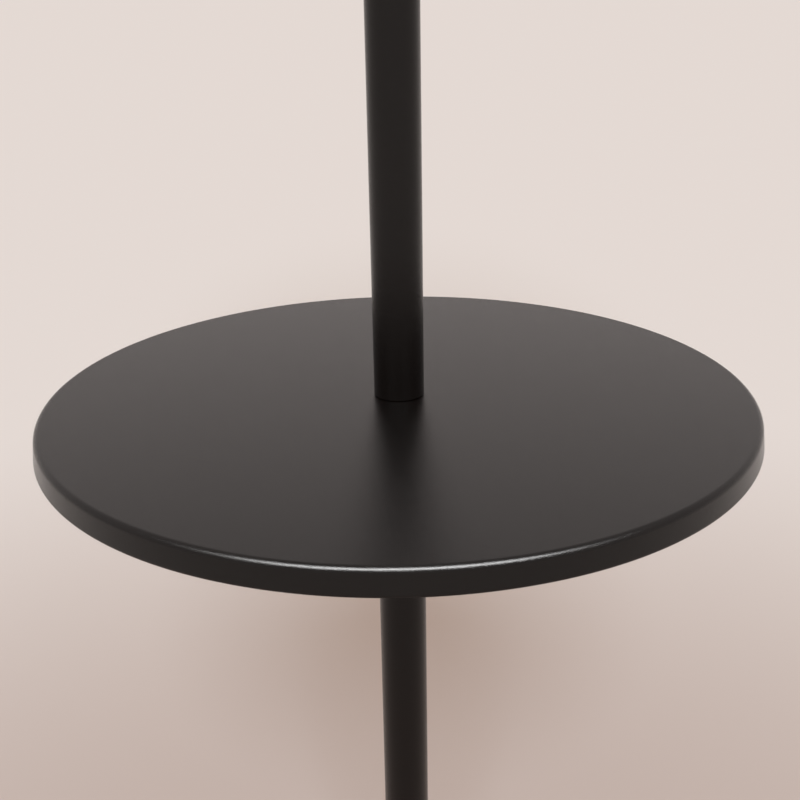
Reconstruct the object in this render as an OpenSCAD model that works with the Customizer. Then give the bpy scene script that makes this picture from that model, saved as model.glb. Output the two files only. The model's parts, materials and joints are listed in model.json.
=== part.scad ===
// Floor lamp with a round table on its pole, in millimetres.
// The origin is on the floor under the middle of the base. Z is up and the cord hole is at the back, on +Y.

/* [Pole] */
// Outside diameter of the pole
pole_d = 25.4; // [22:0.1:30]
// Wall of the pole tubes
tube_wall = 1; // [0.8:0.1:1.5]
// Length of each of the two tubes under the table
lower_tube_l = 280; // [200:5:340]
// Length of each of the two tubes above the table
upper_tube_l = 310; // [220:5:380]
// Chamfer round the rims of the tubes
tube_chamfer = 0.4; // [0.2:0.1:0.6]
// Length of the threaded plug in each tube end
plug_l = 16; // [13:1:30]
// Outside diameter of the hollow threaded nipples
nipple_d = 10; // [8:0.5:12]
// Bore of the nipples
nipple_bore_d = 7; // [4:0.5:7]
// How far a nipple screws into a plug
nipple_reach = 12; // [8:1:13]

/* [Base] */
// Diameter of the base
base_d = 280; // [230:5:340]
// Height of the base above the floor
base_h = 24; // [22:1:40]
// Radius of the cover's top edge
base_edge_r = 4; // [2:0.5:6]
// Sheet thickness of the cover
cover_t = 1.2; // [0.8:0.1:2]
// Thickness of the pad that the base stands on
pad_t = 2; // [1:0.5:3]
// How far the pad's rim stays inside the cover's rim
pad_inset = 5; // [2:1:12]
// Diameter of the washer under the weight
washer_d = 36; // [26:1:44]
// Thickness of that washer
washer_t = 2; // [1:0.5:3]
// Width of the hexagonal nut across its flats
nut_width = 17; // [16:0.5:20]
// Height of the nut
nut_h = 6; // [4:0.5:7]
// Diameter of the pocket that the nut and the washer sit in
pocket_d = 56; // [48:1:70]
// Bore of the cord bushing
cord_bore_d = 7.4; // [6:0.2:8]
// Diameter of the bushing's body
bushing_d = 10; // [9.4:0.2:11]
// Diameter of the bushing's flange
bushing_flange_d = 13; // [12:0.5:14]
// Length of the bushing inside the cover
bushing_l = 12; // [8:1:20]

/* [Table] */
// Diameter of the table
table_d = 360; // [300:2:420]
// Height of the table's rim
table_rim_h = 12.5; // [8:0.5:16]
// Angle by which the rim leans out towards its foot
table_rim_lean = 7; // [0:0.5:10]
// Radius of the rim's top edge
table_edge_r = 3; // [2:0.25:4]
// Radius of the rim's lower edge, where the sheet is folded under
table_fold_r = 1.6; // [1.4:0.1:2.4]
// Width of the flange folded under the rim
table_fold_w = 6; // [4:0.5:12]
// Sheet thickness of the table
table_t = 1.2; // [0.8:0.1:1.3]
// Diameter of the plate that stiffens the table from below
hub_d = 110; // [80:2:150]
// Thickness of that plate
hub_t = 2; // [1.5:0.5:3]
// Number of spot welds in the plate
weld_count = 6; // [4:1:10]
// Diameter of the collar between the plate and the pole
collar_d = 40; // [34:1:50]
// Height of the collar
collar_h = 12; // [11:0.5:20]

/* [Harp] */
// Height of the harp above the ends of its saddle
harp_h = 180; // [165:1:230]
// Distance between the harp's two legs
harp_leg_gap = 76; // [72:1:80]
// Wire diameter of the harp
harp_wire_d = 4; // [3:0.2:4.4]
// Height of the saddle's posts above the saddle's underside
saddle_h = 22; // [20:0.5:26]
// Strip thickness of the saddle
saddle_t = 1.6; // [1.2:0.1:2]
// Strip width of the saddle
saddle_w = 9; // [8:0.5:12]
// Outside diameter of the sleeves that lock the harp to the saddle
sleeve_d = 7; // [6.4:0.2:8]
// Length of the sleeves
sleeve_l = 14; // [11:0.5:15]
// Height of the cap on the pole under the saddle
pole_cap_h = 10; // [8:0.5:16]

/* [Lampholder] */
// Outside diameter of the lampholder's cap
socket_d = 35; // [34:0.5:38]
// Height of that cap
socket_cap_h = 22; // [19:0.5:23]
// Height of the whole lampholder
socket_h = 64; // [60:0.5:66]
// Diameter of the switch knob
knob_d = 15; // [12:0.5:16]
// Length of the switch knob
knob_l = 12; // [9:0.5:16]
// Diameter of the switch shaft
shaft_d = 4; // [3:0.2:5]

/* [Bulb] */
// Diameter of the globe
bulb_d = 60; // [54:1:64]
// Length of the whole bulb, with its screw cap
bulb_l = 110; // [104:1:120]
// Diameter of the bulb's screw cap
bulb_cap_d = 26; // [25.4:0.1:26.2]
// Length of the bulb's screw cap
bulb_cap_l = 25; // [23:0.5:26]

/* [Shade] */
// Outside diameter of the shade at its foot
shade_foot_d = 356; // [320:2:400]
// Outside diameter of the shade at its top
shade_top_d = 330; // [290:2:356]
// Height of the shade
shade_h = 254; // [220:1:280]
// Thickness of the laminated wall
shade_t = 1; // [0.8:0.1:1.4]
// Height of the folded hems
hem_h = 9; // [7:0.5:14]
// Thickness of the hem fabric
hem_t = 0.6; // [0.4:0.1:1]
// Wire diameter of the shade's rings
ring_wire_d = 4; // [3:0.2:5]
// Wire diameter of the arms that carry the shade
arm_wire_d = 3.4; // [3:0.2:4.4]
// How far the arms' washer lies below the top ring
spider_drop = 14; // [8:1:24]
// Diameter of the finial's ball
finial_d = 17; // [14:0.5:22]

/* [Hidden] */
$fn = 96;
TUBES = [1, 2, 3, 4];

// Clearances, each on the radius: pieces that press or screw together, a shaft in its bearing, a loose fit
fit_gap = 0.05;
run_gap = 0.05;
slip_gap = 0.3;
eps = 0.01; // how far a cut runs past the face that it opens
wire_joint = 0.05; // how much thicker than its wire the ball at a joint is

pole_r = pole_d/2;
tube_bore_r = pole_r - tube_wall;
nipple_r = nipple_d/2;
nipple_hole_r = nipple_r + fit_gap;

// Heights up the lamp, from the floor
z_tube_1 = base_h;
z_tube_2 = z_tube_1 + lower_tube_l;
z_collar = z_tube_2 + lower_tube_l;
z_hub = z_collar + collar_h;
z_sheet = z_hub + hub_t;
z_table = z_sheet + table_t;
z_tube_3 = z_table;
z_tube_4 = z_tube_3 + upper_tube_l;
z_pole_cap = z_tube_4 + upper_tube_l;
z_saddle = z_pole_cap + pole_cap_h;
z_socket = z_saddle + saddle_t;
z_harp = z_saddle + saddle_h;
z_harp_top = z_harp + harp_h;
tube_foot = [z_tube_1, z_tube_2, z_tube_3, z_tube_4];
tube_length = [lower_tube_l, lower_tube_l, upper_tube_l, upper_tube_l];

// Base
base_r = base_d/2;
cover_h = base_h - pad_t;
cast_r = base_r - cover_t - slip_gap;
cast_h = cover_h - cover_t;
nut_drop = 3; // space between the nut and the pad's level
pocket_h = nut_drop + nut_h + washer_t;
z_nut = pad_t + nut_drop;
z_washer = z_nut + nut_h;
z_cord = (pad_t + base_h - base_edge_r)/2;
barb_r = bushing_d/2 + 0.7;
channel_w = 2*(barb_r + slip_gap);

// Table
table_r = table_d/2;
weld_ring_r = (hub_d + collar_d)/4;
weld_r = 4;
weld_depth = 0.5;

// Harp: each leg runs straight, flares out, bulges and comes in over a shoulder to the top
harp_leg_x = harp_leg_gap/2;
harp_wire_r = harp_wire_d/2;
harp_leg_l = 20;
flare_angle = 15;
flare_r = 40;
flare_l = 20;
bulge_r = 150;
lean_angle = 8;
shoulder_r = 34;
bulge_x = harp_leg_x + flare_r*(1 - cos(flare_angle)) + flare_l*sin(flare_angle);
bulge_z = harp_leg_l + flare_r*sin(flare_angle) + flare_l*cos(flare_angle);
lean_x = bulge_x + bulge_r*(cos(lean_angle) - cos(flare_angle));
lean_z = bulge_z + bulge_r*(sin(flare_angle) + sin(lean_angle));
lean_l = (harp_h - lean_z - shoulder_r*(1 - sin(lean_angle)))/cos(lean_angle);
top_l = lean_x - lean_l*sin(lean_angle) - shoulder_r*cos(lean_angle) - 1;
eye_r = 7;
eye_h = harp_wire_d + 0.4;
rivet_r = 2.4;
swivel_t = 2;
stud_r = 3.1;
stud_l = 14;
saddle_flat = 14; // half the length of the saddle's flat middle
saddle_rise = 10; // height of the saddle's ends over its middle
post_foot = saddle_rise + saddle_t; // top of the saddle's ends, where the sleeves rest
sleeve_travel = 10;

// Lampholder, with heights from its underside
socket_r = socket_d/2;
socket_wall = 0.8;
socket_floor = 2;
socket_shoulder_r = 8;
shell_r = socket_r - socket_wall - fit_gap;
shell_wall = 0.7;
shell_foot = socket_cap_h - 8;
shell_bead_r = 1.1;
liner_r = shell_r - shell_wall - fit_gap;
liner_wall = 0.6;
liner_overhang = 2; // how far the liner stands over the shell
housing_r = liner_r - liner_wall - fit_gap;
housing_foot = shell_foot + 2;
screw_shell_r = bulb_cap_d/2 + 0.9;
screw_shell_t = 0.5;
seat_z = socket_h - bulb_cap_l + 1; // where the screw shell stands on the switch housing
contact_h = 2;
shaft_z = socket_cap_h + 2*shell_bead_r + 4.5;
shaft_inner = 3; // the shaft's end, from the lampholder's axis
knob_face = socket_r + 1.5; // the knob's near face, from that axis
knob_r = knob_d/2;
shaft_r = shaft_d/2;
knob_wall_behind_shaft = 3;
flute_count = 14;
flute_r = 1;

// Bulb, with heights from its contact
bulb_r = bulb_d/2;
bulb_globe_t = 1.2;
bulb_neck_r = bulb_cap_d/2 + 1.3;
bulb_contact_h = 3;
bulb_housing_z = bulb_contact_h + bulb_cap_l;
globe_z = bulb_l - bulb_r; // height of the globe's middle
globe_cut = bulb_r*0.55; // how far below its middle the globe meets the housing
housing_top_r = sqrt(bulb_r*bulb_r - globe_cut*globe_cut);
z_bulb = z_socket + seat_z + contact_h;

// Shade: its wall leans in by the taper, and rings and hems follow the wall
ring_r = ring_wire_d/2;
arm_r = arm_wire_d/2;
shade_foot_r = shade_foot_d/2;
taper = atan((shade_foot_d - shade_top_d)/2/shade_h);
slant_h = shade_h/cos(taper);
ring_x = -shade_t - fit_gap - ring_r; // a ring's wire, seen from the wall's outer face
top_ring_r = shade_foot_r + ring_x*cos(taper) - (slant_h - ring_r)*sin(taper);
top_ring_rise = ring_x*sin(taper) + (slant_h - ring_r)*cos(taper);
z_washer_foot = z_harp_top + eye_h/2 + run_gap + swivel_t;
spider_washer_r = 13;
spider_washer_t = 1.6;
z_arm = z_washer_foot + arm_r + 0.3;
z_shade = z_arm + spider_drop - top_ring_rise;
arm_start = 10.5; // how far from the middle an arm starts
arm_bend_r = 10;
arm_slope = 30;
arm_slope_l = (spider_drop - arm_bend_r*(1 - cos(arm_slope)))/sin(arm_slope);
arm_level_l = top_ring_r - arm_start - arm_bend_r*sin(arm_slope) - arm_slope_l*cos(arm_slope);
arm_angles = [90, 210, 330];
z_finial = z_washer_foot + spider_washer_t;
finial_foot_r = 8;
finial_foot_h = 2.5;
finial_neck_r = 4.6;
finial_ball_z = finial_foot_h + finial_d/2 + 2;

metal_black = [0.06, 0.06, 0.06];
knob_black = [0.07, 0.07, 0.07];
steel = [0.62, 0.62, 0.64];
brass = [0.72, 0.56, 0.27];
linen = [0.87, 0.83, 0.75];
opal = [0.94, 0.94, 0.92];

// ---- Shapes that repeat ----

// Half the section of a disc with rounded edges, standing on Z = 0
module disc_profile(r, h, top_r, foot_r) {
    square([r - foot_r, h/2]);
    translate([0, h/2]) square([r - top_r, h/2]);
    translate([0, foot_r]) square([r, h - top_r - foot_r]);
    translate([r - top_r, h - top_r]) circle(top_r);
    translate([r - foot_r, foot_r]) circle(foot_r);
}

// The same for a rim that leans out towards its foot.
// The two rounds touch the leaning line at touch_foot and touch_top.
module leaning_profile(r, h, top_r, foot_r, lean) {
    out = [cos(lean), sin(lean)];
    foot_at = [r - foot_r, foot_r];
    rise = h - top_r - foot_r;
    top_at = foot_at + [(foot_r - top_r - rise*sin(lean))/cos(lean), rise];
    touch_foot = foot_at + foot_r*out;
    touch_top = top_at + top_r*out;
    polygon([[0, 0], [foot_at.x, 0], foot_at, touch_foot, touch_top, top_at, [top_at.x, h], [0, h]]);
    translate(top_at) circle(top_r);
    translate(foot_at) circle(foot_r);
}

module ring(outer_r, inner_r, h) {
    difference() {
        cylinder(r = outer_r, h = h);
        translate([0, 0, -eps]) cylinder(r = inner_r, h = h + 2*eps);
    }
}

module nipple(z_from, z_to) {
    color(steel) translate([0, 0, z_from]) ring(nipple_r, nipple_bore_d/2, z_to - z_from);
}

// A strip bent along points in a plane, with rounded bends
module strip_2d(points, t) {
    for (i = [0 : len(points) - 2]) {
        step = points[i + 1] - points[i];
        translate(points[i]) rotate(atan2(step[1], step[0])) translate([0, -t/2]) square([norm(step), t]);
    }
    for (p = points) translate(p) circle(t/2);
}

// Wire along a run of steps that starts up Z: [length] goes straight, [radius, angle] bends towards -X,
// or towards +X where the angle is below 0. A ball a hair thicker than the wire joins each step to the next.
module wire_run(steps, r, i = 0) {
    if (i < len(steps)) {
        s = steps[i];
        start = i > 0 ? wire_joint : 0;
        end = i < len(steps) - 1 ? wire_joint : 0;
        if (i > 0) sphere(r + wire_joint);
        if (len(s) == 1) {
            translate([0, 0, start]) cylinder(r = r, h = s[0] - start - end);
            translate([0, 0, s[0]]) wire_run(steps, r, i + 1);
        } else {
            side = s[1] < 0 ? -1 : 1;
            skip = wire_joint*180/(PI*s[0]);
            sweep = side*s[1] - 2*skip;
            rotate([0, 0, side < 0 ? 180 : 0]) translate([-s[0], 0, 0]) rotate([90, 0, 0])
                rotate([0, 0, skip]) rotate_extrude(angle = sweep) translate([s[0], 0]) circle(r);
            translate([-side*s[0], 0, 0]) rotate([0, -s[1], 0]) translate([side*s[0], 0, 0])
                wire_run(steps, r, i + 1);
        }
    }
}

// ---- Base ----

module base_pad() {
    color([0.12, 0.12, 0.12]) ring(base_r - pad_inset, pocket_d/2 + 2, pad_t);
}

module base_weight() {
    color([0.55, 0.54, 0.52]) translate([0, 0, pad_t]) difference() {
        rotate_extrude() disc_profile(cast_r, cast_h, base_edge_r, 1);
        translate([0, 0, -eps]) cylinder(r = nipple_r + slip_gap, h = cast_h + 2*eps);
        translate([0, 0, -eps]) cylinder(r = pocket_d/2, h = pocket_h + eps);
        translate([-channel_w/2, 0, -eps]) cube([channel_w, base_r, z_cord - pad_t + channel_w/2 + eps]);
    }
}

module base_cover() {
    color(metal_black) translate([0, 0, pad_t]) difference() {
        rotate_extrude() difference() {
            disc_profile(base_r, cover_h, base_edge_r, 0.3);
            translate([0, -eps]) disc_profile(base_r - cover_t, cover_h - cover_t + eps,
                                              base_edge_r - cover_t, 0.1);
        }
        translate([0, 0, cover_h/2]) cylinder(r = nipple_hole_r, h = cover_h);
        translate([0, 0, z_cord - pad_t]) rotate([-90, 0, 0])
            cylinder(r = bushing_d/2 + fit_gap, h = base_r + 1);
    }
}

module base_nipple() {
    nipple(z_nut - 1, base_h + nipple_reach);
}

module base_washer() {
    color(steel) translate([0, 0, z_washer]) ring(washer_d/2, nipple_r + slip_gap, washer_t);
}

module base_nut() {
    color(steel) translate([0, 0, z_nut]) difference() {
        cylinder(d = nut_width/cos(30), h = nut_h, $fn = 6);
        translate([0, 0, -eps]) cylinder(r = nipple_hole_r, h = nut_h + 2*eps);
    }
}

// Split barb behind the cover's wall, body through it and flange outside
module cord_bushing() {
    flange_t = 2;
    barb_l = 2;
    color([0.08, 0.08, 0.08]) translate([0, base_r, z_cord]) rotate([90, 0, 0]) difference() {
        union() {
            translate([0, 0, -flange_t]) rotate_extrude()
                disc_profile(bushing_flange_d/2, flange_t, 0.1, 0.8);
            cylinder(r = bushing_d/2, h = bushing_l);
            translate([0, 0, cover_t + slip_gap]) cylinder(r1 = barb_r, r2 = bushing_d/2, h = barb_l);
        }
        translate([0, 0, -flange_t - eps]) cylinder(r = cord_bore_d/2, h = flange_t + bushing_l + 2*eps);
        translate([-0.6, -barb_r - 1, cover_t + slip_gap + barb_l]) cube([1.2, 2*barb_r + 2, bushing_l]);
    }
}

// ---- Pole ----

module pole_tube(i) {
    l = tube_length[i - 1];
    c = tube_chamfer;
    color(metal_black) translate([0, 0, tube_foot[i - 1]]) rotate_extrude()
        polygon([
            [tube_bore_r, 0], [pole_r - c, 0], [pole_r, c],
            [pole_r, l - c], [pole_r - c, l], [tube_bore_r, l]
        ]);
}

// Plug with an internal thread, flush with the end of its tube
module tube_plug(z) {
    color(steel) translate([0, 0, z]) ring(tube_bore_r - fit_gap, nipple_hole_r, plug_l);
}

module lower_plug(i) {
    tube_plug(tube_foot[i - 1]);
}

module upper_plug(i) {
    tube_plug(tube_foot[i - 1] + tube_length[i - 1] - plug_l);
}

module lower_joint_nipple() {
    nipple(z_tube_2 - nipple_reach, z_tube_2 + nipple_reach);
}

module upper_joint_nipple() {
    nipple(z_tube_4 - nipple_reach, z_tube_4 + nipple_reach);
}

// ---- Table ----

// Runs through the collar, the plate and the table, and draws the tubes on both sides together
module table_nipple() {
    nipple(z_collar - nipple_reach, z_tube_3 + nipple_reach);
}

module table_collar() {
    rim_h = 2;
    flare = collar_d/2 - pole_r;
    color(metal_black) translate([0, 0, z_collar]) rotate_extrude() difference() {
        union() {
            square([pole_r, collar_h]);
            translate([0, collar_h - rim_h]) square([collar_d/2, rim_h]);
            translate([pole_r, collar_h - rim_h - flare]) difference() {
                square(flare + eps);
                translate([flare, 0]) circle(flare);
            }
        }
        translate([0, -eps]) square([nipple_hole_r, collar_h + 2*eps]);
    }
}

module table_hub_plate() {
    color(metal_black) translate([0, 0, z_hub]) difference() {
        rotate_extrude() disc_profile(hub_d/2, hub_t, 0.1, 0.6);
        translate([0, 0, -eps]) cylinder(r = nipple_hole_r, h = hub_t + 2*eps);
        for (i = [0 : weld_count - 1]) rotate(i*360/weld_count)
            translate([weld_ring_r, 0, weld_depth - weld_r]) sphere(weld_r);
    }
}

// One steel sheet: a flat top, a rim turned down all round and a flange folded under it
module table_top() {
    color(metal_black) translate([0, 0, z_table - table_rim_h]) rotate_extrude() difference() {
        leaning_profile(table_r, table_rim_h, table_edge_r, table_fold_r, table_rim_lean);
        translate([0, table_t])
            leaning_profile(table_r - table_t, table_rim_h - 2*table_t,
                            table_edge_r - table_t, table_fold_r - table_t, table_rim_lean);
        translate([0, -eps]) square([table_r - table_fold_w, table_rim_h/2]);
        translate([0, -eps]) square([nipple_hole_r, table_rim_h + 2*eps]);
    }
}

// ---- Harp and saddle ----

module pole_cap() {
    brow_h = 3;
    brow_r = pole_r + 1.2;
    shoulder = 4.5;
    color(metal_black) translate([0, 0, z_pole_cap]) rotate_extrude() difference() {
        union() {
            disc_profile(brow_r, brow_h, 0.6, 0.6);
            disc_profile(pole_r, pole_cap_h, shoulder, 0.1);
        }
        translate([0, -eps]) square([nipple_hole_r, pole_cap_h + 2*eps]);
    }
}

module socket_nipple() {
    nipple(z_pole_cap - nipple_reach, z_socket + socket_floor + 3);
}

module harp_saddle() {
    end_z = saddle_rise + saddle_t/2;
    middle_z = saddle_t/2;
    end_w = saddle_w/2;
    color(steel) translate([0, 0, z_saddle]) {
        difference() {
            intersection() {
                rotate([90, 0, 0]) translate([0, 0, -saddle_w]) linear_extrude(2*saddle_w)
                    strip_2d([
                        [-harp_leg_x - end_w, end_z], [-harp_leg_x + end_w, end_z],
                        [-saddle_flat, middle_z], [saddle_flat, middle_z],
                        [harp_leg_x - end_w, end_z], [harp_leg_x + end_w, end_z]
                    ], saddle_t);
                union() {
                    translate([-harp_leg_x, -end_w, -1]) cube([2*harp_leg_x, saddle_w, saddle_h]);
                    for (side = [-1, 1]) translate([side*harp_leg_x, 0, -1])
                        cylinder(r = end_w, h = saddle_h);
                    translate([0, 0, -1]) cylinder(r = nipple_r + 3, h = saddle_h);
                }
            }
            translate([0, 0, -1]) cylinder(r = nipple_hole_r, h = saddle_t + 2);
        }
        for (side = [-1, 1]) translate([side*harp_leg_x, 0, end_z])
            cylinder(r = harp_wire_r, h = saddle_h - end_z);
    }
}

module harp() {
    leg = [
        [harp_leg_l], [flare_r, -flare_angle], [flare_l], [bulge_r, flare_angle + lean_angle],
        [lean_l], [shoulder_r, 90 - lean_angle], [top_l]
    ];
    color(steel) difference() {
        union() {
            for (side = [0, 180]) rotate([0, 0, side]) translate([harp_leg_x, 0, z_harp])
                wire_run(leg, harp_wire_r);
            translate([0, 0, z_harp_top - eye_h/2]) cylinder(r = eye_r, h = eye_h);
        }
        translate([0, 0, z_harp_top - eye_h]) cylinder(r = rivet_r + run_gap, h = 2*eye_h);
    }
}

module harp_sleeve(side) {
    color(steel) translate([side*harp_leg_x, 0, z_saddle + post_foot + run_gap]) rotate_extrude()
        difference() {
            disc_profile(sleeve_d/2, sleeve_l, 0.8, 0.8);
            translate([0, -eps]) square([harp_wire_r + 0.15, sleeve_l + 2*eps]);
        }
}

// Rivet that turns in the harp's eye, with the stud that carries the shade
module harp_swivel() {
    head_t = 1.2;
    color(steel) translate([0, 0, z_harp_top]) {
        translate([0, 0, -eye_h/2 - run_gap - head_t]) cylinder(r = 4.5, h = head_t);
        translate([0, 0, -eye_h/2 - run_gap - head_t]) cylinder(r = rivet_r, h = eye_h + head_t + 4*run_gap);
        translate([0, 0, eye_h/2 + run_gap]) cylinder(r = 7.5, h = swivel_t);
        translate([0, 0, eye_h/2 + run_gap]) cylinder(r = stud_r, h = swivel_t + stud_l);
    }
}

// ---- Lampholder ----

module socket_cap() {
    color([0.1, 0.1, 0.1]) translate([0, 0, z_socket]) rotate_extrude() difference() {
        disc_profile(socket_r, socket_cap_h, 0.3, socket_shoulder_r);
        translate([0, socket_floor]) disc_profile(socket_r - socket_wall, socket_cap_h, 0.1,
                                                  socket_shoulder_r - socket_wall);
        translate([0, -eps]) square([nipple_hole_r, socket_floor + 2*eps]);
    }
}

// The hole that the switch shaft passes through
module shaft_hole(r) {
    translate([0, 0, z_socket + shaft_z]) rotate([90, 0, 0]) cylinder(r = r, h = socket_d);
}

module socket_shell() {
    color([0.1, 0.1, 0.1]) difference() {
        translate([0, 0, z_socket]) rotate_extrude() difference() {
            union() {
                translate([0, shell_foot]) square([shell_r, socket_h - shell_foot]);
                translate([shell_r - 0.4, socket_cap_h + shell_bead_r + fit_gap]) circle(shell_bead_r);
                translate([shell_r - 0.4, socket_h]) circle(shell_bead_r);
            }
            translate([0, shell_foot - eps]) square([shell_r - shell_wall, socket_h]);
        }
        shaft_hole(shaft_r + 1.2);
    }
}

module socket_liner() {
    color([0.5, 0.4, 0.28]) difference() {
        translate([0, 0, z_socket + shell_foot])
            ring(liner_r, liner_r - liner_wall, socket_h + liner_overhang - shell_foot);
        shaft_hole(shaft_r + 0.8);
    }
}

module switch_housing() {
    color([0.16, 0.13, 0.11]) difference() {
        translate([0, 0, z_socket + housing_foot]) cylinder(r = housing_r, h = seat_z - housing_foot);
        shaft_hole(shaft_r + run_gap);
    }
}

module screw_shell() {
    color(brass) translate([0, 0, z_socket + seat_z]) difference() {
        cylinder(r = screw_shell_r, h = socket_h - seat_z);
        translate([0, 0, screw_shell_t]) cylinder(r = screw_shell_r - screw_shell_t, h = socket_h);
        translate([0, 0, -1]) cylinder(r = 7, h = 3);
    }
}

module centre_contact() {
    color(brass) translate([0, 0, z_socket + seat_z]) {
        cylinder(r = 5, h = contact_h/2);
        cylinder(r = 3, h = contact_h);
    }
}

module switch_shaft() {
    reach = knob_face + knob_l - knob_wall_behind_shaft;
    color(brass) translate([0, -shaft_inner, z_socket + shaft_z]) rotate([90, 0, 0])
        cylinder(r = shaft_r, h = reach - shaft_inner);
}

module switch_knob() {
    color(knob_black) translate([0, -knob_face, z_socket + shaft_z]) rotate([90, 0, 0]) difference() {
        rotate_extrude() disc_profile(knob_r, knob_l, 1.4, 0.6);
        for (i = [0 : flute_count - 1]) rotate(i*360/flute_count) translate([knob_r + 0.4, 0, 1.5])
            cylinder(r = flute_r, h = knob_l);
        translate([0, 0, -eps]) cylinder(r = shaft_r + 0.02, h = knob_l - knob_wall_behind_shaft + 0.1);
    }
}

// ---- Bulb ----

module bulb_contact() {
    color(steel) translate([0, 0, z_bulb]) cylinder(r1 = 3.5, r2 = 5, h = bulb_contact_h);
}

module bulb_cap() {
    color(steel) translate([0, 0, z_bulb + bulb_contact_h]) rotate_extrude()
        disc_profile(bulb_cap_d/2, bulb_cap_l, 0.2, 3);
}

module bulb_housing() {
    rise = globe_z - globe_cut - bulb_housing_z;
    color(opal) translate([0, 0, z_bulb + bulb_housing_z]) rotate_extrude()
        polygon([
            [0, 0], [bulb_neck_r - 0.6, 0], [bulb_neck_r, 0.6], [bulb_neck_r, 3],
            [housing_top_r + 0.6, rise - 3], [housing_top_r + 0.6, rise], [0, rise]
        ]);
}

module bulb_globe() {
    color(opal) translate([0, 0, z_bulb + globe_z]) rotate_extrude() intersection() {
        difference() {
            circle(bulb_r);
            circle(bulb_r - bulb_globe_t);
        }
        translate([0, -globe_cut]) square([bulb_r, bulb_r + globe_cut]);
    }
}

// ---- Shade ----

// The plane of the wall's section: X is out of the wall from its outer face, Y is up along it
module on_wall() {
    translate([0, 0, z_shade]) rotate_extrude() translate([shade_foot_r, 0]) rotate(taper) children();
}

// A hem folded round the wall's edge and its ring, with the edge at Y = 0 and the wall above it
module hem_section() {
    inside_w = shade_t + ring_wire_d + 3*fit_gap;
    fold_r = 1.2;
    outside = hem_t + fit_gap;
    inner_leg = ring_wire_d + 1;
    difference() {
        union() {
            translate([outside - fold_r, fold_r - outside]) circle(fold_r);
            translate([fold_r - inside_w - hem_t, fold_r - outside]) circle(fold_r);
            translate([fold_r - inside_w - hem_t, -outside])
                square([inside_w + hem_t + outside - 2*fold_r, fold_r]);
            translate([-inside_w - hem_t, fold_r - outside])
                square([hem_t + 1, inner_leg - fold_r + outside]);
            translate([-1, fold_r - outside]) square([outside + 1, hem_h - fold_r + outside]);
        }
        translate([-inside_w, -fit_gap]) square([inside_w + fit_gap, hem_h + 1]);
    }
}

module shade_wall() {
    color(linen) on_wall() translate([-shade_t, 0]) square([shade_t, slant_h]);
}

module shade_foot_hem() {
    color(linen) on_wall() hem_section();
}

// Notched where the arms reach the ring
module shade_top_hem() {
    notch_w = arm_wire_d + 2*slip_gap;
    notch_l = 8;
    notch_h = 7;
    color(linen) difference() {
        on_wall() translate([0, slant_h]) mirror([0, 1]) hem_section();
        for (a = arm_angles) rotate(a)
            translate([top_ring_r - notch_l, -notch_w/2, z_arm + spider_drop + arm_r - notch_h])
                cube([notch_l, notch_w, notch_h]);
    }
}

module shade_foot_ring() {
    color(steel) on_wall() translate([ring_x, ring_r]) circle(ring_r);
}

// Top ring, three cranked arms and the washer that sits on the harp's stud
module shade_spider() {
    color(steel) {
        on_wall() translate([ring_x, slant_h - ring_r]) circle(ring_r);
        difference() {
            union() {
                translate([0, 0, z_washer_foot]) cylinder(r = spider_washer_r, h = spider_washer_t);
                for (a = arm_angles) rotate(a) translate([arm_start, 0, z_arm]) rotate([0, 90, 0])
                    wire_run([[arm_level_l], [arm_bend_r, arm_slope], [arm_slope_l]], arm_r);
            }
            translate([0, 0, z_washer_foot - 5]) cylinder(r = stud_r + 0.2, h = 10);
        }
    }
}

module finial() {
    bore_l = stud_l - spider_washer_t + 1;
    color(metal_black) translate([0, 0, z_finial]) difference() {
        rotate_extrude() {
            disc_profile(finial_foot_r, finial_foot_h, 0.8, 0.1);
            square([finial_neck_r, finial_ball_z]);
            intersection() {
                translate([0, finial_ball_z]) circle(finial_d/2);
                square([finial_d, 2*finial_ball_z]);
            }
        }
        translate([0, 0, -eps]) cylinder(r = stud_r + fit_gap, h = bore_l);
    }
}

// ---- Nodes ----

base_pad();
base_weight();
base_cover();
base_nipple();
base_washer();
base_nut();
cord_bushing();
for (i = TUBES) pole_tube(i);
for (i = TUBES) lower_plug(i);
for (i = TUBES) upper_plug(i);
lower_joint_nipple();
table_nipple();
upper_joint_nipple();
socket_nipple();
table_collar();
table_hub_plate();
table_top();
pole_cap();
harp_saddle();
harp();
harp_sleeve(-1);  // harp_sleeve_left
harp_sleeve(1);  // harp_sleeve_right
harp_swivel();
socket_cap();
socket_shell();
socket_liner();
switch_housing();
screw_shell();
centre_contact();
switch_shaft();
switch_knob();
bulb_contact();
bulb_cap();
bulb_housing();
bulb_globe();
shade_wall();
shade_top_hem();
shade_foot_hem();
shade_foot_ring();
shade_spider();
finial();
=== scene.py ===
"""Floor lamp with a round table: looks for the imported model.

Metres, Z up. The lamp stands on the floor at the origin, and the camera looks along +Y.
"""
import json
import math

import bmesh
import bpy
from mathutils import Matrix, Vector


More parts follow.
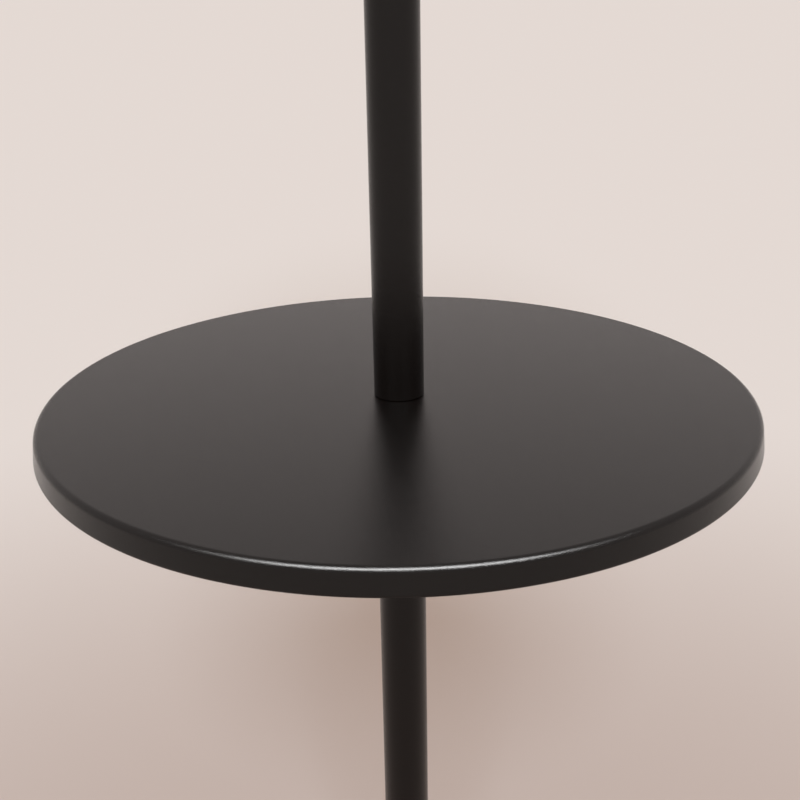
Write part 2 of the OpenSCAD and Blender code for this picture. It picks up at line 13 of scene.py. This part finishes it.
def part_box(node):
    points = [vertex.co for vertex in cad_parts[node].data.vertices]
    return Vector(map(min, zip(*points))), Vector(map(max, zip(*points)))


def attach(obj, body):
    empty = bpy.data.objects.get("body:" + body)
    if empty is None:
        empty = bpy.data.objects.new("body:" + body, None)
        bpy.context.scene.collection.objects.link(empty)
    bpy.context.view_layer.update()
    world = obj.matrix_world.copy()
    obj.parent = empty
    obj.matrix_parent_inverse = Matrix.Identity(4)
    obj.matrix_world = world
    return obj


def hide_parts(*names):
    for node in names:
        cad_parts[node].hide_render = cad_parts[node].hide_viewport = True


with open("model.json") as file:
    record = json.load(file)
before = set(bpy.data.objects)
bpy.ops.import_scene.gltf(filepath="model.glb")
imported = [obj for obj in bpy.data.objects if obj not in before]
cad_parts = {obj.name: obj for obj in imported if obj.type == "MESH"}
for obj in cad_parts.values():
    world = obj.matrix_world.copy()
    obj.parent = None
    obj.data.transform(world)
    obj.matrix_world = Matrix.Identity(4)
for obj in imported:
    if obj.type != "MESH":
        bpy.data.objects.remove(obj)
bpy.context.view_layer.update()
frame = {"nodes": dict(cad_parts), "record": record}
nodes = frame["nodes"]
MM = 0.001
TABLE_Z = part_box("table_top")[1][2]

# ---------------------------------------------------------------- camera

FRAME_PX = 800
FOCAL_PX = 1131.5
AXIS_PX = (414.83, 418.9)  # where the lens axis meets the picture
PITCH, ROLL, YAW = (math.radians(a) for a in (22.246, -0.745, 0.830))
CAMERA_AT = Vector((0, -0.53918, TABLE_Z + 0.20602))


def make_camera():
    data = bpy.data.cameras.new("camera")
    data.sensor_fit = "HORIZONTAL"
    data.sensor_width = 36
    data.lens = data.sensor_width * FOCAL_PX / FRAME_PX
    data.shift_x = (FRAME_PX / 2 - AXIS_PX[0]) / FRAME_PX
    data.shift_y = (AXIS_PX[1] - FRAME_PX / 2) / FRAME_PX
    data.clip_start = 0.02
    data.clip_end = 2000
    flat = math.cos(PITCH)
    ahead = Vector((math.sin(YAW) * flat, math.cos(YAW) * flat, -math.sin(PITCH)))
    level = Vector((math.cos(YAW), -math.sin(YAW), 0))
    upright = level.cross(ahead)
    right = math.cos(ROLL) * level + math.sin(ROLL) * upright
    up = -math.sin(ROLL) * level + math.cos(ROLL) * upright
    camera = bpy.data.objects.new("camera", data)
    bpy.context.scene.collection.objects.link(camera)
    turn = Matrix((right, up, -ahead)).transposed()
    camera.matrix_world = Matrix.Translation(CAMERA_AT) @ turn.to_4x4()
    bpy.context.scene.camera = camera


make_camera()
bpy.context.scene.view_settings.view_transform = "Standard"

# ---------------------------------------------------------------- meshes

TURN_STEPS = 288  # steps in a full turn of a piece made by revolving a section
SAME_POINT = 1e-7  # metres within which two vertices are one
SHARP_FROM = 40  # degrees


def piece(name, verts, faces, material, slot, body, *stands_for):
    """A piece of the lamp with smooth faces, on its body, in place of the nodes it stands for."""
    mesh = bpy.data.meshes.new(name)
    mesh.from_pydata(verts, [], faces)
    bm = bmesh.new()
    bm.from_mesh(mesh)
    bmesh.ops.remove_doubles(bm, verts=bm.verts, dist=SAME_POINT)
    bm.to_mesh(mesh)
    bm.free()
    mesh.shade_smooth()
    mesh.set_sharp_from_angle(angle=math.radians(SHARP_FROM))
    mesh.materials.append(material)
    obj = bpy.data.objects.new(name, mesh)
    bpy.context.scene.collection.objects.link(obj)
    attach(obj, body)
    if stands_for:
        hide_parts(*stands_for)


def arc(x, z, r, start, end, steps):
    """Points of a section's arc about (x, z), with angles in degrees from the X axis."""
    angles = (math.radians(start + (end - start) * i / steps) for i in range(steps + 1))
    return [(x + r * math.cos(a), z + r * math.sin(a)) for a in angles]


def ring(stops):
    """Vertices and faces of a closed ring through (angle in degrees, section) stops.

    A section is closed and clockwise, with (radius, height) points, and all have as many points.
    """
    count = len(stops[0][1])
    verts = []
    for angle, section in stops:
        a = math.radians(angle)
        verts += [(r * math.cos(a), r * math.sin(a), z) for r, z in section]
    faces = []
    for i in range(len(stops)):
        here, there = i * count, (i + 1) % len(stops) * count
        for j in range(count):
            k = (j + 1) % count
            faces.append((here + j, there + j, there + k, here + k))
    return verts, faces


def revolve(section, steps=TURN_STEPS):
    """A ring with the same section all round."""
    return ring([(360.0 * i / steps, section) for i in range(steps)])


def leaning(section, foot_r, foot_z, lean):
    """A section drawn beside a leaning wall, as (radius, height) points.

    In the section, X is out of the wall and Z is up along it.
    """
    c, s = math.cos(lean), math.sin(lean)
    return [(foot_r + x * c - z * s, foot_z + x * s + z * c) for x, z in section]


# ---------------------------------------------------------------- node helpers


class Shader:
    """A new node material, or the world, with short calls for its nodes."""

    def __init__(self, name, tree=None):
        if tree is None:
            self.material = bpy.data.materials.new(name)
            self.material.use_nodes = True
            tree = self.material.node_tree
        self.tree = tree
        tree.nodes.clear()

    def node(self, kind, inputs=None, **settings):
        """Adds a node. Each input is a value or another node's output socket."""
        n = self.tree.nodes.new(kind)
        for key, value in settings.items():
            setattr(n, key, value)
        for key, value in (inputs or {}).items():
            if isinstance(value, bpy.types.NodeSocket):
                self.tree.links.new(value, n.inputs[key])
            else:
                n.inputs[key].default_value = value
        return n

    def math(self, operation, a, b=0.0):
        return self.node("ShaderNodeMath", {0: a, 1: b}, operation=operation).outputs[0]

    def span(self, value, low, high, to_low=0.0, to_high=1.0, smooth=False):
        """value from low..high to to_low..to_high, held at the ends."""
        n = self.node("ShaderNodeMapRange", {0: value, 1: low, 2: high, 3: to_low, 4: to_high})
        n.interpolation_type = "SMOOTHSTEP" if smooth else "LINEAR"
        return n.outputs[0]

    def mix(self, factor, a, b):
        n = self.node("ShaderNodeMix", {0: factor, 6: a, 7: b}, data_type="RGBA")
        return n.outputs[2]

    def noise(self, where, scale, detail=2.0, rough=0.5):
        inputs = {"Vector": where, "Scale": scale, "Detail": detail, "Roughness": rough}
        return self.node("ShaderNodeTexNoise", inputs).outputs[0]

    def place(self):
        return self.node("ShaderNodeTexCoord").outputs["Object"]

    def axes(self, where):
        return self.node("ShaderNodeSeparateXYZ", {0: where}).outputs

    def point(self, x, y, z=0.0):
        return self.node("ShaderNodeCombineXYZ", {0: x, 1: y, 2: z}).outputs[0]

    def stretch(self, where, scale):
        return self.node("ShaderNodeMapping", {"Vector": where, "Scale": scale}).outputs[0]

    def distance(self, where, spot):
        n = self.node("ShaderNodeVectorMath", {0: where, 1: spot}, operation="DISTANCE")
        return n.outputs["Value"]

    def bump(self, height, distance, strength=1.0):
        inputs = {"Height": height, "Distance": distance, "Strength": strength}
        return self.node("ShaderNodeBump", inputs).outputs[0]

    def surface(self, **sockets):
        """A Principled surface on the output. A space in a socket's name is written as _."""
        inputs = {key.replace("_", " "): value for key, value in sockets.items()}
        shader = self.node("ShaderNodeBsdfPrincipled", inputs)
        self.node("ShaderNodeOutputMaterial", {"Surface": shader.outputs[0]})
        return self.material


def rgb(r, g, b):
    return (r, g, b, 1.0)


# ---------------------------------------------------------------- materials

PEEL_SCALE = 380
PEEL_SHARE = 0.33  # of the grain's height
GRAIN_SCALE = 3600
SLUB_SCALE = 9.0  # along a thread, where its thickness changes slowly


def satin_black():
    """Powder coat: faint orange peel with a fine grain on it, which makes it satin."""
    s = Shader("satin_black")
    where = s.place()
    peel = s.noise(where, PEEL_SCALE, 1.0)
    grain = s.noise(where, GRAIN_SCALE, 1.0)
    height = s.math("ADD", s.math("MULTIPLY", peel, PEEL_SHARE), grain)
    tone = s.noise(where, 60, 3.0)
    return s.surface(
        Base_Color=s.mix(tone, rgb(0.0014, 0.0006, 0.0003), rgb(0.0024, 0.0011, 0.0007)),
        Roughness=s.span(tone, 0.3, 0.7, 0.20, 0.22),
        IOR=1.36,
        Normal=s.bump(height, 0.00007),
    )


def plain_metal(name, color, low, high, streaks=(900, 900, 60)):
    """Metal with fine streaks along Z, and low..high as its roughness."""
    s = Shader(name)
    drawn = s.noise(s.stretch(s.place(), streaks), 1.0, 3.0)
    tone = s.noise(s.place(), 35, 3.0)
    dark = tuple(c * 0.86 for c in color)
    return s.surface(
        Base_Color=s.mix(tone, rgb(*dark), rgb(*color)),
        Metallic=1.0,
        Roughness=s.span(drawn, 0.3, 0.7, low, high),
        Normal=s.bump(drawn, 0.00001, 0.3),
    )


def moulded(name, dark, light, low, high, grain=1500, depth=0.00001):
    """Plastic, card, rubber or paint with a faint grain, and low..high as its roughness."""
    s = Shader(name)
    where = s.place()
    spark = s.noise(where, grain, 2.0)
    tone = s.noise(where, 45, 3.0)
    return s.surface(
        Base_Color=s.mix(tone, rgb(*dark), rgb(*light)),
        Roughness=s.span(tone, 0.3, 0.7, low, high),
        Normal=s.bump(spark, depth, 0.5),
    )


def concrete():
    """Cast weight: sand grains, and deep holes, with painted shade that colours the holes dark.
    """
    s = Shader("concrete")
    where = s.place()
    sand = s.noise(where, 900, 3.0)
    pits = s.node("ShaderNodeTexVoronoi", {"Vector": where, "Scale": 160.0}).outputs["Distance"]
    pore_and_painted_shade = s.span(pits, 0.10, 0.26, smooth=True)
    tone = s.mix(s.noise(where, 30, 4.0), rgb(0.29, 0.28, 0.26), rgb(0.43, 0.42, 0.39))
    height = s.math("ADD", s.math("MULTIPLY", sand, 0.3), pore_and_painted_shade)
    return s.surface(
        # painted shade: the holes are coloured dark, as shade inside them; the same mask also
        # sets their depth
        Base_Color=s.mix(pore_and_painted_shade, rgb(0.12, 0.115, 0.105), tone),
        Roughness=0.92,
        Normal=s.bump(height, 0.0004),
    )


def linen(name, pitch, middle_r):
    """Plain weave round the shade: threads of uneven thickness that cross over and under, with
    painted shade darkening the gaps between them.
    """
    s = Shader(name)
    where = s.place()
    x, y, z = s.axes(where)
    round_it = s.math("MULTIPLY", s.math("ARCTAN2", x, s.math("MULTIPLY", y, -1.0)), middle_r)
    sway = s.math("MULTIPLY", s.noise(where, 55, 2.0), 0.0012)
    across = s.math("ADD", round_it, sway)
    along = s.math("ADD", z, sway)
    up = s.math("SINE", s.math("MULTIPLY", across, math.pi / pitch))
    over = s.math("SINE", s.math("MULTIPLY", along, math.pi / pitch))
    crossing = s.span(s.math("MULTIPLY", up, over), -0.25, 0.25, smooth=True)
    thread = s.mix(crossing, s.math("ABSOLUTE", up), s.math("ABSOLUTE", over))

    def uneven(across_scale, along_scale):
        x = s.math("MULTIPLY", across, across_scale)
        y = s.math("MULTIPLY", along, along_scale)
        return s.noise(s.point(x, y), 1.0, 3.0, 0.6)

    slub = s.mix(crossing, uneven(1 / pitch, SLUB_SCALE), uneven(SLUB_SCALE, 1 / pitch))
    gap_and_painted_shade = s.span(thread, 0.05, 0.55, smooth=True)
    yarn = s.mix(s.span(slub, 0.3, 0.7), rgb(0.56, 0.50, 0.405), rgb(0.76, 0.71, 0.61))
    height = s.math("ADD", s.math("MULTIPLY", gap_and_painted_shade, 0.7), s.math("MULTIPLY", slub, 0.6))
    return s.surface(
        # painted shade: the gaps between the threads are coloured darker; the same mask also sets
        # their depth
        Base_Color=s.mix(gap_and_painted_shade, rgb(0.40, 0.345, 0.265), yarn),
        Roughness=0.88,
        Sheen_Weight=0.25,
        Sheen_Roughness=0.5,
        Normal=s.bump(height, 0.00022),
    )


SHADE_MIDDLE_R = 171.5 * MM

materials = {
    "satin_black": satin_black(),
    "pad": moulded("pad", (0.012, 0.012, 0.012), (0.022, 0.021, 0.020), 0.8, 0.95, 900, 0.0001),
    "concrete": concrete(),
    "steel": plain_metal("steel", (0.56, 0.55, 0.51), 0.28, 0.42),
    "bushing": moulded("bushing", (0.012, 0.012, 0.012), (0.018, 0.018, 0.018), 0.42, 0.5),
    "nickel": plain_metal("nickel", (0.62, 0.59, 0.54), 0.14, 0.22),
    "cardboard": moulded("cardboard", (0.30, 0.21, 0.13), (0.38, 0.27, 0.17), 0.85, 0.95,
                         1200, 0.00005),
    "phenolic": moulded("phenolic", (0.018, 0.011, 0.008), (0.028, 0.017, 0.012), 0.3, 0.4),
    "brass": plain_metal("brass", (0.68, 0.47, 0.19), 0.22, 0.34),
    "knob": moulded("knob", (0.010, 0.010, 0.010), (0.015, 0.014, 0.014), 0.22, 0.32),
    "bulb_metal": plain_metal("bulb_metal", (0.70, 0.70, 0.69), 0.2, 0.32),
    "bulb_housing": moulded("bulb_housing", (0.74, 0.74, 0.72), (0.78, 0.78, 0.76), 0.38, 0.48),
    "bulb_globe": moulded("bulb_globe", (0.80, 0.80, 0.78), (0.83, 0.83, 0.81), 0.36, 0.44),
    "shade_fabric": linen("shade_fabric", 0.0009, SHADE_MIDDLE_R),
    "white_wire": moulded("white_wire", (0.68, 0.67, 0.64), (0.74, 0.73, 0.70), 0.35, 0.45),
}
tape = linen("hem_tape", 0.0006, SHADE_MIDDLE_R)
lining = moulded("shade_lining", (0.70, 0.69, 0.66), (0.75, 0.74, 0.71), 0.5, 0.6, 700, 0.00002)

for part in frame["record"]["subparts"]:
    data = nodes[part["node"]].data
    data.materials.clear()
    data.materials.append(materials[part["material_slot"]])

# ---------------------------------------------------------------- table top

SHEET = 1.2 * MM  # how thick its steel is
EDGE_R = 3.0 * MM
FOLD_R = 1.6 * MM
FOLD_W = 6.0 * MM
RIM_LEAN = 7.0  # degrees by which the rim leans out towards its foot
HUB_HOLE_R = 5.05 * MM
BESIDE = 0.2 * MM  # from an arc to a ring of vertices that keeps the flat beside it flat


def make_table_top():
    """Pressed steel: flat top, rounded edge, rim, and a flange folded in under it."""
    (low_x, _, foot), (high_x, _, top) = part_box("table_top")
    r = (high_x - low_x) / 2
    c, s = math.cos(math.radians(RIM_LEAN)), math.sin(math.radians(RIM_LEAN))
    fold_x, fold_z = r - FOLD_R, foot + FOLD_R
    edge_z = top - EDGE_R
    edge_x = fold_x + (FOLD_R - EDGE_R - (edge_z - fold_z) * s) / c
    edge = arc(edge_x, edge_z, EDGE_R, 90, RIM_LEAN, 16)
    fold = arc(fold_x, fold_z, FOLD_R, RIM_LEAN, -90, 8)
    section = [(HUB_HOLE_R, top), (r / 3, top), (r * 2 / 3, top), (edge_x - BESIDE, top)]
    section += edge
    section += [(edge[-1][0] + BESIDE * s, edge[-1][1] - BESIDE * c)]
    section += [(fold[0][0] - BESIDE * s, fold[0][1] + BESIDE * c)]
    section += fold
    section += [(r - FOLD_W, foot), (r - FOLD_W, foot + SHEET)]
    section += arc(fold_x, fold_z, FOLD_R - SHEET, -90, RIM_LEAN, 4)
    section += arc(edge_x, edge_z, EDGE_R - SHEET, RIM_LEAN, 90, 8)
    section += [(edge_x - BESIDE, top - SHEET), (HUB_HOLE_R, top - SHEET)]
    verts, faces = revolve(section, steps=2 * TURN_STEPS)
    slot, body = "satin_black", "stand"
    piece("table_sheet", verts, faces, materials[slot], slot, body, "table_top")


make_table_top()

# ---------------------------------------------------------------- shade

SHADE_H = 254.0 * MM
SHADE_SPREAD = 13.0 * MM  # how much larger its radius is at the foot
SHADE_LEAN = math.atan2(SHADE_SPREAD, SHADE_H)
SLANT = SHADE_H / math.cos(SHADE_LEAN)
WALL_T = 1.0 * MM
CLOTH_T = 0.5 * MM  # the linen's share of the wall
LINER_IN = 0.02 * MM  # from the wall's face and from the linen to the liner's faces
SEAM_AT = 90.0  # degrees: the sheets' ends lap at the back
SEAM_TURN = 5.0  # degrees over which a lap runs out
CLOTH_LAP = 0.45 * MM
TAPE_LAP = 0.3 * MM
HEM_H = 9.0 * MM
HEM_LEG = 5.0 * MM  # how far the hem comes up inside
HEM_T = 0.6 * MM
HEM_IN = 5.15 * MM  # room for the wall and its ring
HEM_OUT = 0.05 * MM
HEM_FOLD_R = 1.2 * MM
HEM_CHAMFER = 0.15 * MM
NOTCH_LEG = 1.2 * MM  # the upper hem's leg where an arm of the ring passes it
NOTCH_W = 4.0 * MM
NOTCH_R = 155.7 * MM
NOTCH_HALF = math.degrees(NOTCH_W / 2 / NOTCH_R)
ARM_ANGLES = (90, 210, 330)
MARK_SIDE = 1e-4  # degrees: how far beside a mark its two sections are read


def on_wall(section):
    foot_r, _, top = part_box("shade_wall")[1]
    return leaning(section, foot_r, top - SHADE_H, SHADE_LEAN)


def shade_stops(section_at, marks):
    """Stops round the shade, with two at each mark: one before it and one after it."""
    around = [(360.0 * i / TURN_STEPS, None) for i in range(TURN_STEPS)]
    around += [(mark % 360, side) for mark in marks for side in (-1, 1)]
    around = sorted(set(around), key=lambda stop: (stop[0], stop[1] or 0))
    marked = {angle for angle, side in around if side is not None}
    stops = [(angle, side) for angle, side in around if side is not None or angle not in marked]
    beside = [(angle, (angle + (side or 0) * MARK_SIDE) % 360) for angle, side in stops]
    return [(angle, on_wall(section_at(read_at))) for angle, read_at in beside]


def seam_rise(angle):
    """How far a sheet stands out after its lap, from 1 at the lap's edge to 0."""
    return max(0.0, 1.0 - ((angle - SEAM_AT) % 360) / SEAM_TURN)


def make_shade():
    def cloth(angle):
        out = CLOTH_LAP * seam_rise(angle)
        low, high = HEM_H, SLANT - HEM_H
        lap = [(0, high), (out, high), (out, low), (0, low)]
        return [(-CLOTH_T, SLANT), (0, SLANT), *lap, (0, 0), (-CLOTH_T, 0)]

    def liner(_):
        inner = -WALL_T + LINER_IN
        outer = -CLOTH_T - LINER_IN
        return [(inner, SLANT), (outer, SLANT), (outer, 0), (inner, 0)]

    def hem(angle, leg, flip):
        lap = TAPE_LAP * seam_rise(angle)
        outer = HEM_OUT + HEM_T + lap
        inner = -HEM_IN - HEM_T
        low = -HEM_OUT - HEM_T
        section = [(HEM_OUT, HEM_H), (outer - HEM_CHAMFER, HEM_H), (outer, HEM_H - HEM_CHAMFER)]
        section += arc(outer - HEM_FOLD_R, low + HEM_FOLD_R, HEM_FOLD_R, 0, -90, 6)
        section += arc(inner + HEM_FOLD_R, low + HEM_FOLD_R, HEM_FOLD_R, -90, -180, 6)
        section += [(inner, leg), (-HEM_IN, leg), (-HEM_IN, -HEM_OUT), (HEM_OUT, -HEM_OUT)]
        if flip:
            section = [(x, SLANT - y) for x, y in reversed(section)]
        return section

    def top_leg(angle):
        near = any(abs((angle - arm + 180) % 360 - 180) < NOTCH_HALF for arm in ARM_ANGLES)
        return NOTCH_LEG if near else HEM_LEG

    def strip(name, section_at, marks, material, node):
        verts, faces = ring(shade_stops(section_at, marks))
        piece(name, verts, faces, material, "shade_fabric", "shade", node)

    def foot_hem(angle):
        return hem(angle, HEM_LEG, False)

    def top_hem(angle):
        return hem(angle, top_leg(angle), True)

    seam = [SEAM_AT]
    notches = [arm + side * NOTCH_HALF for arm in ARM_ANGLES for side in (-1, 1)]
    strip("shade_cloth", cloth, seam, materials["shade_fabric"], "shade_wall")
    strip("shade_liner", liner, [], lining, "shade_wall")
    strip("shade_foot_tape", foot_hem, seam, tape, "shade_foot_hem")
    strip("shade_top_tape", top_hem, seam + notches, tape, "shade_top_hem")


make_shade()

# ---------------------------------------------------------------- floor, world and light

PALE = (0.745, 0.679, 0.658)  # the background behind the floor
AMBIENT = (0.575, 0.482, 0.410)  # the soft light from all round
FLOOR_FAR = (0.800, 0.732, 0.709)
# painted shade: the floor's darker, warmer tone near the lamp stands in for the shadow under the
# table, fading out between these distances
FLOOR_PAINTED_SHADE = (0.570, 0.468, 0.432)
FLOOR_REACH = 600.0  # so far that its edge is the horizon
PAINTED_SHADE_FROM, PAINTED_SHADE_TO = 0.35, 1.6  # metres from the lamp
KEY_POWER = 2.70
KEY_WIDTH = 20  # degrees across
KEY_TILT = 53.5  # degrees from straight down
KEY_COLOR = (0.77, 0.915, 1.0)
SOFTBOX_SIZE = (3.0, 1.0)
SOFTBOX_POWER = 345
SOFTBOX_RISE = 59  # degrees above the table
SOFTBOX_AWAY = 2.5


def make_floor():
    """A wide matte floor, with painted shade that makes it darker and warmer round the lamp."""
    bm = bmesh.new()
    bmesh.ops.create_grid(bm, x_segments=4, y_segments=4, size=FLOOR_REACH)
    mesh = bpy.data.meshes.new("floor")
    bm.to_mesh(mesh)
    bm.free()
    floor = bpy.data.objects.new("floor", mesh)
    bpy.context.scene.collection.objects.link(floor)
    s = Shader("floor")
    where = s.place()
    # painted shade: the floor's colour darkens towards the lamp
    painted_shade_fade = s.span(s.distance(where, (0, 0, 0)), PAINTED_SHADE_FROM, PAINTED_SHADE_TO, smooth=True)
    tone = s.mix(painted_shade_fade, rgb(*FLOOR_PAINTED_SHADE), rgb(*FLOOR_FAR))
    matte = s.node("ShaderNodeBsdfDiffuse", {"Color": tone}).outputs[0]
    s.node("ShaderNodeOutputMaterial", {"Surface": matte})
    mesh.materials.append(s.material)


def make_world():
    """Soft light from all round. The camera, gloss and glass see the pale background."""
    world = bpy.data.worlds.new("world")
    bpy.context.scene.world = world
    world.use_nodes = True
    s = Shader("world", world.node_tree)
    path = s.node("ShaderNodeLightPath").outputs
    seen = s.math("MAXIMUM", path["Is Camera Ray"], path["Is Glossy Ray"])
    seen = s.math("MAXIMUM", seen, path["Is Transmission Ray"])
    ambient = s.node("ShaderNodeBackground", {"Color": rgb(*AMBIENT)}).outputs[0]
    pale = s.node("ShaderNodeBackground", {"Color": rgb(*PALE)}).outputs[0]
    out = s.node("ShaderNodeMixShader", {0: seen, 1: ambient, 2: pale}).outputs[0]
    s.node("ShaderNodeOutputWorld", {"Surface": out})


def make_sun():
    """The key light, from above the front. Gloss doesn't show it."""
    data = bpy.data.lights.new("key", "SUN")
    data.energy = KEY_POWER
    data.angle = math.radians(KEY_WIDTH)
    data.color = KEY_COLOR
    sun = bpy.data.objects.new("key", data)
    sun.rotation_euler = (math.radians(KEY_TILT), 0, 0)
    sun.visible_glossy = False
    bpy.context.scene.collection.objects.link(sun)


def make_softbox():
    """A wide lamp above the front, for gloss alone: the highlight along the table's edge."""
    data = bpy.data.lights.new("softbox", "AREA")
    data.shape = "RECTANGLE"
    data.size, data.size_y = SOFTBOX_SIZE
    data.energy = SOFTBOX_POWER
    softbox = bpy.data.objects.new("softbox", data)
    rise = math.radians(SOFTBOX_RISE)
    away = Vector((0, -math.cos(rise), math.sin(rise)))
    softbox.location = Vector((0, 0, TABLE_Z)) + SOFTBOX_AWAY * away
    softbox.rotation_euler = away.to_track_quat("Z", "Y").to_euler()
    softbox.visible_camera = False
    softbox.visible_diffuse = False
    bpy.context.scene.collection.objects.link(softbox)


make_floor()
make_world()
make_sun()
make_softbox()
